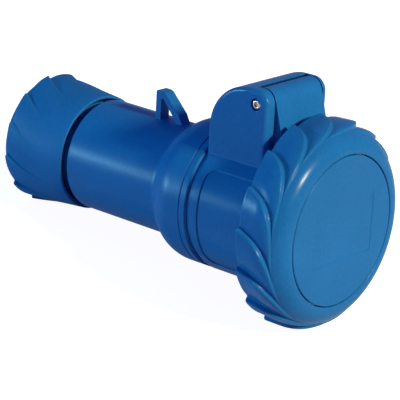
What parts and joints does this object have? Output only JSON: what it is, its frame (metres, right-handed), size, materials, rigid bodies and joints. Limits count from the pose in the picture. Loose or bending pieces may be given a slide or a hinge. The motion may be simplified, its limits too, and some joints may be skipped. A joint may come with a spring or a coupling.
{
  "type": "pin and sleeve cable socket",
  "caption": "Blue pin and sleeve cable socket: round grip with cable gland and hanging eye, plug sleeve, hinged lid and a bayonet ring with scale-shaped grips that locks it.",
  "frame": {"origin": "on the connector's axis at the rear mouth of the seal's cable bore", "axes": "+X along the axis from the cable entry to the lid, +Z towards the hinge"},
  "size_m": [0.1409, 0.0738, 0.083],
  "materials": {
    "blue_plastic": "fine moulded satin",
    "carrier_plastic": "matt moulded",
    "cover_plastic": "matt moulded",
    "cage_plastic": "matt moulded",
    "seal_rubber": "matt",
    "contact_brass": "turned",
    "spring_steel": "drawn wire",
    "screw_steel": "zinc plated",
    "pin_steel": "ground"
  },
  "bodies": {
    "housing": {"handle": "blue_plastic", "socket_housing": "blue_plastic", "housing_o_ring": "seal_rubber", "carrier_l": "carrier_plastic", "carrier_n": "carrier_plastic", "carrier_pe": "carrier_plastic", "carrier_cover": "cover_plastic", "contact_l": "contact_brass", "contact_n": "contact_brass", "contact_pe": "contact_brass", "spring_l": "spring_steel", "spring_n": "spring_steel", "spring_pe": "spring_steel", "terminal_screws": "screw_steel", "carrier_screws": "screw_steel", "gland_seal": "seal_rubber", "gland_washer": "cover_plastic", "hinge_pin": "pin_steel"},
    "cage": {"gland_cage": "cage_plastic"},
    "nut": {"gland_nut": "blue_plastic"},
    "lid": {"lid": "blue_plastic", "lid_seal": "seal_rubber", "ring_retainer": "spring_steel"},
    "ring": {"lock_ring": "blue_plastic"}
  },
  "joints": [
    {"name": "lid_hinge", "type": "hinge", "parent": "housing", "child": "lid", "pos_m": [0.0973, 0, 0.0412], "axis": [0, -1, 0], "range_deg": [0, 130]},
    {"name": "ring_turn", "type": "hinge", "parent": "lid", "child": "ring", "pos_m": [0.1224, 0, 0], "axis": [1, 0, 0], "range_deg": [0, 45]},
    {"name": "gland_slide", "type": "slide", "parent": "housing", "child": "cage", "axis": [-1, 0, 0], "range_m": [0, 0.008]},
    {"name": "nut_turn", "type": "hinge", "parent": "cage", "child": "nut", "pos_m": [0, 0, 0], "axis": [-1, 0, 0], "range_deg": [0, 1440]}
  ],
  "couplings": [
    {"joint": "gland_slide", "follows": "nut_turn", "m_per_rad": 0.00031831}
  ]
}
